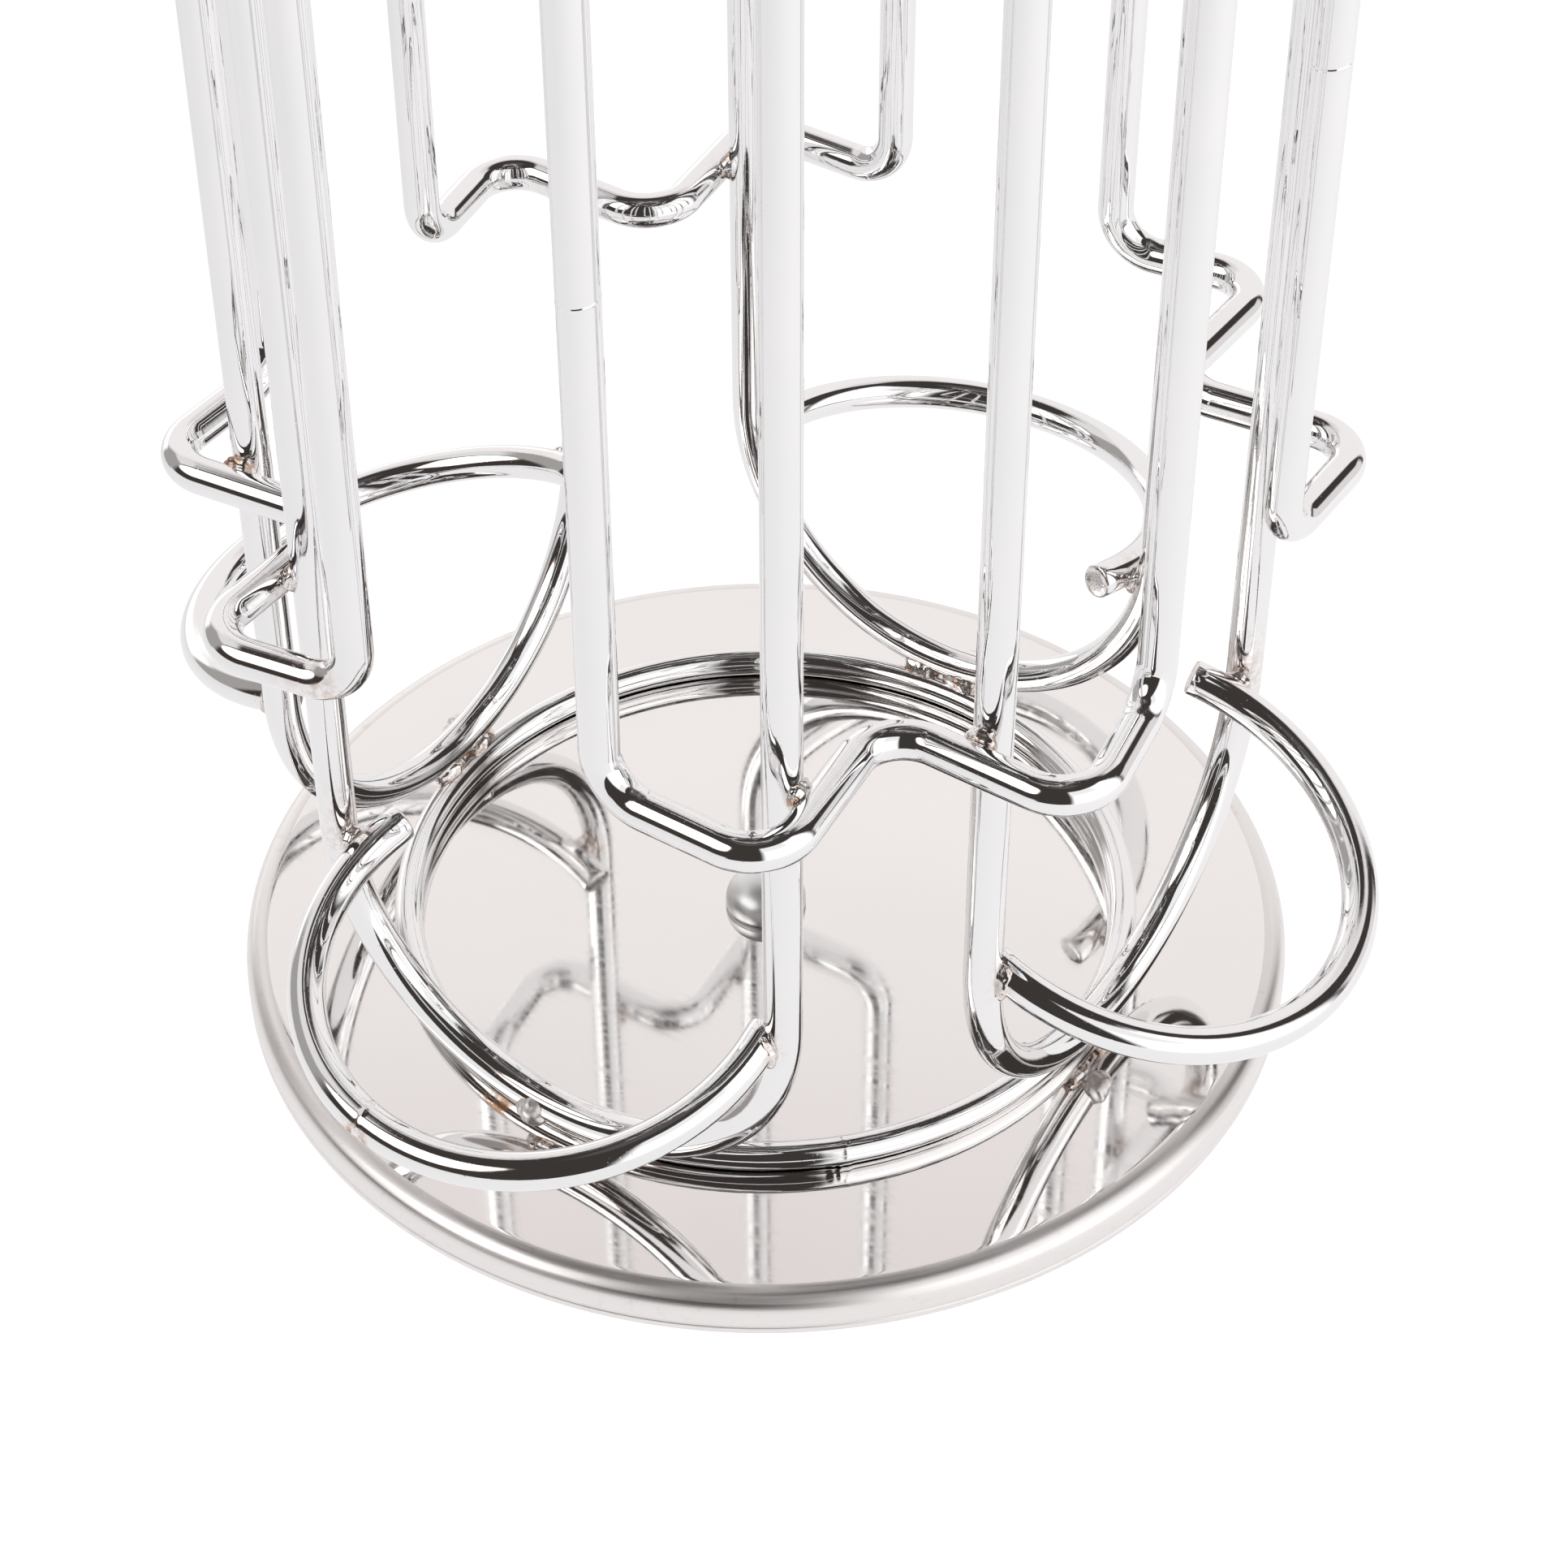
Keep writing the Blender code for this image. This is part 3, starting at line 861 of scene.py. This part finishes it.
def base_ring_wire():
    """The ring on the disc: a butt seam with three lumps under its outer side, and a burn near a weld."""
    outward, _ = frame_at(RING_SEAM)
    place = outward * RING_RADIUS + UP * BASE_RING_HEIGHT
    along = mark_near(dense_base, place)
    _, way = base_ring_path.at(along)
    low_side = place + outward * 1.5 - UP * 1.3
    bumps = []
    for off, height in ((-1.5, 0.10), (-0.5, 0.16), (0.7, 0.12)):
        bumps.append((along + off, low_side + way * off, height, 0.55))
    burn_out, _ = frame_at(RING_BURN)
    burn = burn_out * (RING_RADIUS + 2.2) + UP * (BASE_RING_HEIGHT + 0.2)
    worn = near_spots(dense_base) + [(place, 3.0, 0.4), (burn, 3.6, 4.5)]
    wire("base_ring_wire", base_ring_path, RING_WIRE, "base_ring", [(along, 0.03, 0.4, 0.3)], worn, bumps)


def top_ring_wire():
    outward, _ = frame_at(RING_SEAM)
    place = outward * -RING_RADIUS + UP * TOP_RING_HEIGHT
    seams = [(mark_near(dense_top, place), 0.04, 0.4, 0.3)]
    wire("top_ring_wire", top_ring_path, RING_WIRE, "top_ring", seams, near_spots(dense_top))


for i in range(4):
    guide_wire(i)
    column_wire(i)
    loop_wire(i)
base_ring_wire()
top_ring_wire()
weld_piece("guide_welds", guide_beads, WELD)
weld_piece("loop_welds", loop_beads, CLEAN_WELD)
weld_piece("ring_welds", ring_beads, WELD)
weld_piece("ring_weld_toes", toe_beads, HAZY_WELD)

# -------- base disc


def build_base_disc():
    """The mirror disc: flat top, rolled rim, and a thin skirt with a groove round it. The rim and the
    skirt carry the satin finish."""
    roll = (DISC_RADIUS - DISC_ROLL_WIDTH, DISC_TOP - DISC_ROLL_HEIGHT)
    under = DISC_TOP - DISC_SHEET
    profile = [(CENTRE_HOLE, under + 0.15), (CENTRE_HOLE, DISC_TOP - 0.15), (CENTRE_HOLE + 0.15, DISC_TOP)]
    profile += [(CENTRE_HOLE + 0.4, DISC_TOP), (20.0, DISC_TOP), (45.0, DISC_TOP), (70.0, DISC_TOP)]
    profile += [(roll[0] - 0.5, DISC_TOP)]
    profile += quarter(roll, DISC_ROLL_WIDTH, DISC_ROLL_HEIGHT, 90.0, 0.0, 22)
    for k in range(9):
        groove = 0.16 * math.cos(math.pi * (k / 8.0 - 0.5)) ** 2
        profile.append((DISC_RADIUS - groove, DISC_SKIRT_BOTTOM + 1.75 - 0.1 * k))
    profile.append((DISC_RADIUS, DISC_SKIRT_BOTTOM + 0.4))
    profile += quarter((DISC_RADIUS - 0.5, DISC_SKIRT_BOTTOM + 0.4), 0.5, 0.4, 0.0, -180.0, 8)[1:]
    profile += quarter(roll, DISC_ROLL_WIDTH - DISC_SHEET, DISC_ROLL_HEIGHT - DISC_SHEET, 0.0, 90.0, 12)
    profile += [(60.0, under), (CENTRE_HOLE + 0.3, under)]
    mesh = turned_mesh("base_disc_sheet", profile, 360)
    mesh.materials.append(POLISHED)
    mesh.materials.append(EDGE)
    for face in mesh.polygons:
        centre = face.center / MM
        if math.hypot(centre.x, centre.y) > roll[0] + 0.02:
            face.material_index = 1
    return add_piece("base_disc_sheet", mesh, POLISHED, "tower", ["base_disc"])


build_base_disc()

# -------- pivot, bearing and foot


def build_bolt(head_top, end):
    """The pivot bolt: threaded end up, round head with a socket below."""
    shank = CENTRE_HOLE - GAP
    thread = end - 0.6
    bolt = [(0.0, end), (shank - 0.4, end), (shank, end - 0.4)]
    for k in range(THREAD_TURNS):
        ridge = thread - k * THREAD_PITCH
        bolt += [(shank, ridge), (shank - THREAD_DEPTH, ridge - THREAD_PITCH / 2.0)]
    bolt += [(shank, thread - THREAD_TURNS * THREAD_PITCH), (shank, head_top + 0.3), (shank + 0.3, head_top)]
    bolt += [(5.9, head_top), (6.2, head_top - 0.3), (6.2, head_top - 1.2), (5.9, head_top - 1.7)]
    bolt += [(5.2, head_top - 2.0), (3.0, head_top - 2.0), (2.8, head_top - 1.8), (2.6, head_top - 0.7)]
    bolt += [(0.0, head_top - 0.5)]
    turned("bolt_turned", bolt, 64, STEEL, "tower", "pivot_bolt", closed=False)


def build_nut(bolt_end):
    """The cap nut: a full, slightly squared dome over the bolt's end."""
    low = DISC_TOP + GAP
    steps = 28
    nut = [(0.0, low + NUT_HEIGHT)]
    for k in range(1, steps + 1):
        angle = math.radians(90.0 - 90.0 * k / steps)
        wide, high = math.cos(angle) ** 0.8, math.sin(angle) ** 0.9
        nut.append((NUT_RADIUS * wide, low + 0.5 + (NUT_HEIGHT - 0.5) * high))
    nut += [(NUT_RADIUS, low + 0.2), (NUT_RADIUS - 0.2, low), (CENTRE_HOLE, low)]
    nut += [(CENTRE_HOLE, bolt_end + 0.2), (CENTRE_HOLE - 0.6, bolt_end + GAP), (0.0, bolt_end + GAP)]
    mesh = turned_mesh("nut_turned", nut, 96, closed=False, sharp=60.0)
    add_piece("nut_turned", mesh, HAZY_CHROME, "tower", ["centre_cap_nut"])


def build_pivot():
    """From below: bolt head, bush in the foot's boss, washer, sleeve, and the cap nut on the disc."""
    boss = FOOT_FLOOR + FOOT_BOSS_RISE
    boss_top = boss + FOOT_SHEET
    flange_top = boss_top + BUSH_FLANGE
    bolt_end = DISC_TOP + 2.6
    build_bolt(boss - 0.6, bolt_end)
    low = flange_top + GAP
    top = low + WASHER_THICKNESS
    washer = [(CENTRE_HOLE, top), (WASHER_RADIUS, top), (WASHER_RADIUS, low), (CENTRE_HOLE, low)]
    turned("washer_turned", soften(washer, 0.15), 72, STEEL, "tower", "thrust_washer")
    low, top = top + GAP, DISC_TOP - DISC_SHEET - GAP
    sleeve = [(CENTRE_HOLE, top), (SLEEVE_RADIUS, top), (SLEEVE_RADIUS, low), (CENTRE_HOLE, low)]
    turned("sleeve_turned", soften(sleeve, 0.3), 72, STEEL, "tower", "spacer_sleeve")
    build_nut(bolt_end)
    bush = [(CENTRE_HOLE + 0.1, flange_top), (BUSH_RADIUS, flange_top), (BUSH_RADIUS, boss_top + GAP)]
    bush += [(FOOT_HOLE - GAP, boss_top + GAP), (FOOT_HOLE - GAP, boss - 0.3)]
    bush += [(CENTRE_HOLE + 0.1, boss - 0.3)]
    turned("bush_moulded", soften(bush, 0.15), 72, NYLON, "foot", "pivot_bush")


def build_bearing():
    """Two races with round grooves, and the balls that run between them."""
    low = FOOT_FLOOR + FOOT_SHEET + GAP
    under = DISC_TOP - DISC_SHEET - GAP
    groove = BALL_RADIUS + 0.15
    lower_top = BALL_HEIGHT - RACE_STANDOFF
    upper_low = BALL_HEIGHT + RACE_STANDOFF
    reach = math.sqrt(groove**2 - RACE_STANDOFF**2)
    dip = math.degrees(math.asin(RACE_STANDOFF / groove))
    lower = [(RACE_INNER, lower_top)]
    lower += quarter((BALL_CIRCLE, BALL_HEIGHT), groove, groove, 180.0 + dip, 360.0 - dip, 16)
    lower += [(RACE_OUTER, lower_top), (RACE_OUTER, low), (RACE_INNER, low)]
    turned("lower_race_turned", lower, 144, BEARING, "foot", "lower_race", sharp=30.0)
    upper = [(RACE_INNER, under), (RACE_OUTER, under), (RACE_OUTER, upper_low)]
    upper += [(BALL_CIRCLE + reach, upper_low)]
    upper += quarter((BALL_CIRCLE, BALL_HEIGHT), groove, groove, dip + 8.0, 172.0 - dip, 16)
    upper += [(BALL_CIRCLE - reach, upper_low), (RACE_INNER, upper_low)]
    turned("upper_race_turned", upper, 144, BEARING, "tower", "upper_race", sharp=30.0)
    ball = quarter((0.0, BALL_HEIGHT), BALL_RADIUS, BALL_RADIUS, 90.0, -90.0, 16)
    ball[0] = (0.0, BALL_HEIGHT + BALL_RADIUS)
    ball[-1] = (0.0, BALL_HEIGHT - BALL_RADIUS)
    for i in range(BALLS):
        outward, _ = frame_at(BALL_PHASE + 360.0 * i / BALLS)
        turned(f"ball_ground_{i + 1}", ball, 32, BEARING, "ball_ring", f"bearing_ball_{i + 1}",
               closed=False, centre=(outward * BALL_CIRCLE)[:2])


def build_foot():
    """The pressed foot pan with its raised boss, the rubber pads under it, and the race's rivets."""
    floor = FOOT_FLOOR
    top = floor + FOOT_SHEET
    boss = floor + FOOT_BOSS_RISE
    boss_top = boss + FOOT_SHEET
    pan = [(FOOT_HOLE, boss_top), (FOOT_BOSS_RADIUS, boss_top), (FOOT_BOSS_RADIUS + 3.0, top)]
    pan += [(FOOT_RADIUS - 3.0, top), (FOOT_RADIUS - 1.4, top + 1.0), (FOOT_RADIUS - 1.2, FOOT_RIM_TOP)]
    pan += [(FOOT_RADIUS, FOOT_RIM_TOP), (FOOT_RADIUS, floor + 1.4), (FOOT_RADIUS - 1.6, floor)]
    pan += [(FOOT_BOSS_RADIUS + 3.6, floor), (FOOT_BOSS_RADIUS + 0.6, boss), (FOOT_HOLE, boss)]
    turned("foot_pan_pressed", soften(pan, 0.8), 240, STEEL, "foot", "foot_pan")
    low = floor - GAP
    pad = [(0.0, low), (PAD_RADIUS, low), (PAD_RADIUS - 0.5, 0.0), (4.2, 0.0), (3.9, 0.25)]
    pad += [(2.4, 0.25), (2.1, 0.0), (0.0, 0.0)]
    pad = soften(pad, 0.3, closed=False)
    for i in range(4):
        outward, _ = frame_at(45.0 + 90.0 * i)
        turned(f"pad_moulded_{i + 1}", pad, 64, RUBBER, "foot", f"foot_pad_{i + 1}",
               closed=False, centre=(outward * PAD_CIRCLE)[:2])
    head = [(0.0, low), (RIVET_RADIUS, low), (RIVET_RADIUS, low - 0.15)]
    head += quarter((0.0, low - 0.15), RIVET_RADIUS, 0.75, 0.0, -90.0, 8)[1:-1]
    head += [(0.0, floor - 1.2)]
    for i in range(RIVETS):
        outward, _ = frame_at(RIVET_PHASE + 360.0 * i / RIVETS)
        turned(f"rivet_head_{i + 1}", head, 40, STEEL, "foot", f"race_rivet_{i + 1}",
               closed=False, centre=(outward * RIVET_CIRCLE)[:2])


build_pivot()
build_bearing()
build_foot()

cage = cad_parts["ball_cage"]
cage.data.materials.clear()
cage.data.materials.append(NYLON)

# -------- studio

# The photo's view: degrees round from the front, degrees up, and degrees of roll.
VIEW_AZIMUTH = 30.94
VIEW_ELEVATION = 42.1
VIEW_ROLL = -0.18
# In metres: how far off, and how far right of and above the middle of the disc's top it is aimed.
VIEW_DISTANCE = 0.5441
VIEW_RIGHT = 0.00266
VIEW_ABOVE = 0.0175
LENS = 86.33
FLOOR_RADIUS = 0.62


def towards_view(g, x, y):
    """Shader values for how far a place lies towards the photo's view, and how far to its right."""
    angle = math.radians(VIEW_AZIMUTH)
    ahead = g.math("SUBTRACT", g.math("MULTIPLY", x, math.sin(angle)), g.math("MULTIPLY", y, math.cos(angle)))
    aside = g.math("ADD", g.math("MULTIPLY", x, math.cos(angle)), g.math("MULTIPLY", y, math.sin(angle)))
    return ahead, aside


def build_floor():
    """A white table lit mostly from within, its glow painted light: brighter to the right, a little darker on
    the far side, and clean white to the camera, which washes out its shadows.
    """
    mesh = bpy.data.meshes.new("studio_floor")
    shape = bmesh.new()
    bmesh.ops.create_circle(shape, cap_ends=True, segments=128, radius=FLOOR_RADIUS)
    shape.to_mesh(mesh)
    shape.free()
    g, place = new_material("studio_white_painted_glow", 0.0)
    g.shader.inputs["Base Color"].default_value = (0.12, 0.12, 0.12, 1.0)
    g.shader.inputs["Roughness"].default_value = 0.9
    g.shader.inputs["Specular IOR Level"].default_value = 0.0
    split = g.node("ShaderNodeSeparateXYZ", {0: place})
    ahead, aside = towards_view(g, split.outputs[0], split.outputs[1])
    # Painted light: the table's emission is brighter to the right and darker on the far side, standing in for
    # the soft box's light on it, and camera rays get 0.2 more.
    across = g.ramp(aside, -0.28, 0.34, 0.81, 0.97, smooth=False)
    painted_glow = g.math("ADD", across, g.ramp(ahead, -0.25, 0.0, -0.07, 0.0, smooth=False))
    seen = g.node("ShaderNodeLightPath").outputs["Is Camera Ray"]
    g.shader.inputs["Emission Color"].default_value = (1.0, 0.985, 0.985, 1.0)
    g.feed(g.shader.inputs["Emission Strength"], g.math("ADD", painted_glow, g.math("MULTIPLY", seen, 0.2)))
    mesh.materials.append(g.owner)
    floor = bpy.data.objects.new("studio_floor", mesh)
    floor.location = (0.0, 0.0, -0.00002)
    bpy.context.scene.collection.objects.link(floor)


def build_world():
    """What the metal mirrors: a pale wall behind, a dark room in front with a soft box on either side.

    The camera itself sees plain white."""
    world = bpy.data.worlds.new("studio")
    bpy.context.scene.world = world
    g = Graph(world)
    g.tree.nodes.clear()
    split = g.node("ShaderNodeSeparateXYZ", {0: g.node("ShaderNodeTexCoord").outputs["Generated"]})
    ahead, aside = towards_view(g, split.outputs[0], split.outputs[1])
    # Degrees to the right of the photo's view, and degrees up.
    azimuth = g.math("MULTIPLY", g.math("ARCTAN2", aside, ahead), 180.0 / math.pi)
    height = g.math("MULTIPLY", g.math("ARCSINE", split.outputs[2]), 180.0 / math.pi)

    def band(value, low, high, soft):
        rise = g.ramp(value, low - soft, low + soft)
        fall = g.ramp(value, high - soft, high + soft, 1.0, 0.0)
        return g.math("MULTIPLY", rise, fall)

    def from_middle(value, low, high):
        """0 in the middle of the range and 1 at its ends."""
        shifted = g.math("SUBTRACT", value, (low + high) / 2.0)
        return g.math("ABSOLUTE", g.math("DIVIDE", shifted, (high - low) / 2.0))

    def rounded(left, right, low, high, soft):
        """A panel shaped like a rounded rectangle, 1 inside."""
        across = g.math("POWER", from_middle(azimuth, left, right), 3.0)
        up = g.math("POWER", from_middle(height, low, high), 3.0)
        return g.ramp(g.math("ADD", across, up), 1.0 - soft, 1.0 + soft, 1.0, 0.0)

    dark = (0.05, 0.043, 0.04)
    table_edge = (0.93, 0.92, 0.915)
    # What stands round the table: azimuths, elevations, how soft its sides and its ends are, radiance.
    panels = (
        ("side wall, left", (-132.0, -92.0), (-30.0, 40.0), (5.0, 3.0), (0.40, 0.38, 0.37)),
        ("side wall, left, upper half", (-140.0, -100.0), (38.0, 60.0), (3.0, 3.0), (0.84, 0.82, 0.81)),
        ("low lamp, back left", (-172.0, -128.0), (-30.0, 14.0), (4.0, 3.0), (1.3, 1.27, 1.25)),
        ("table edge, left", (-100.0, -34.0), (-30.0, -4.0), (4.0, 2.5), table_edge),
        ("soft box, right", (17.0, 92.0), (-30.0, 57.0), (5.0, 3.0), (1.4, 1.38, 1.37)),
        ("soft box, right, upper half", (17.0, 60.0), (37.0, 57.0), (5.0, 3.0), (1.0, 0.99, 0.99)),
        ("side wall, right", (98.0, 120.0), (-30.0, 18.0), (4.0, 3.0), (0.82, 0.78, 0.77)),
    )
    room = g.mix(g.ramp(height, 74.0, 80.0), dark, (0.10, 0.09, 0.085))
    wall = g.mix(g.ramp(height, 42.0, 51.0), (0.985, 0.95, 0.94), (0.825, 0.775, 0.77))
    far_round = g.ramp(g.math("ABSOLUTE", azimuth), 124.0, 130.0)
    room = g.mix(g.math("MULTIPLY", far_round, g.ramp(height, 53.0, 60.0, 1.0, 0.0)), room, wall)
    for _, (left, right), (low, high), (soft_sides, soft_ends), colour in panels:
        mask = g.math("MULTIPLY", band(azimuth, left, right, soft_sides), band(height, low, high, soft_ends))
        room = g.mix(mask, room, colour)
    # The left soft box, in a warm frame.
    room = g.mix(rounded(-96.0, -34.0, 19.5, 60.5, 0.25), room, (0.5, 0.36, 0.29))
    room = g.mix(rounded(-95.0, -36.0, 21.5, 59.0, 0.2), room, (2.0, 1.98, 1.95))
    room = g.mix(g.ramp(height, -24.0, -18.0), table_edge, room)
    lit = g.node("ShaderNodeBackground", {"Color": room}).outputs[0]
    plain = g.node("ShaderNodeBackground", {"Color": (1.0, 1.0, 1.0)}).outputs[0]
    seen = g.node("ShaderNodeLightPath").outputs["Is Camera Ray"]
    choose = g.node("ShaderNodeMixShader", {0: seen, 1: lit, 2: plain}).outputs[0]
    g.node("ShaderNodeOutputWorld", {"Surface": choose})


def build_lights():
    """One broad overhead light for the matt surfaces. Mirrors don't show it."""
    data = bpy.data.lights.new("overhead", "AREA")
    data.shape = "DISK"
    data.size = 1.6
    data.energy = 6.0
    lamp = bpy.data.objects.new("overhead", data)
    lamp.location = (0.0, 0.0, 1.8)
    lamp.visible_glossy = False
    bpy.context.scene.collection.objects.link(lamp)


def build_camera():
    """The photo's camera."""
    a, e = math.radians(VIEW_AZIMUTH), math.radians(VIEW_ELEVATION)
    back = Vector((math.sin(a) * math.cos(e), -math.cos(a) * math.cos(e), math.sin(e)))
    right = Vector((math.cos(a), math.sin(a), 0.0))
    over = back.cross(right)
    data = bpy.data.cameras.new("camera")
    data.sensor_width = 36.0
    data.lens = LENS
    data.clip_start = 0.01
    data.clip_end = 50.0
    camera = bpy.data.objects.new("camera", data)
    turn = Matrix((right, over, back)).transposed() @ Matrix.Rotation(math.radians(VIEW_ROLL), 3, "Z")
    place = UP * (DISC_TOP * MM) + right * VIEW_RIGHT + over * VIEW_ABOVE + back * VIEW_DISTANCE
    camera.matrix_world = Matrix.Translation(place) @ turn.to_4x4()
    bpy.context.scene.collection.objects.link(camera)
    bpy.context.scene.camera = camera


build_floor()
build_world()
build_lights()
build_camera()
bpy.context.scene.view_settings.view_transform = "Standard"
bpy.context.scene.view_settings.look = "None"
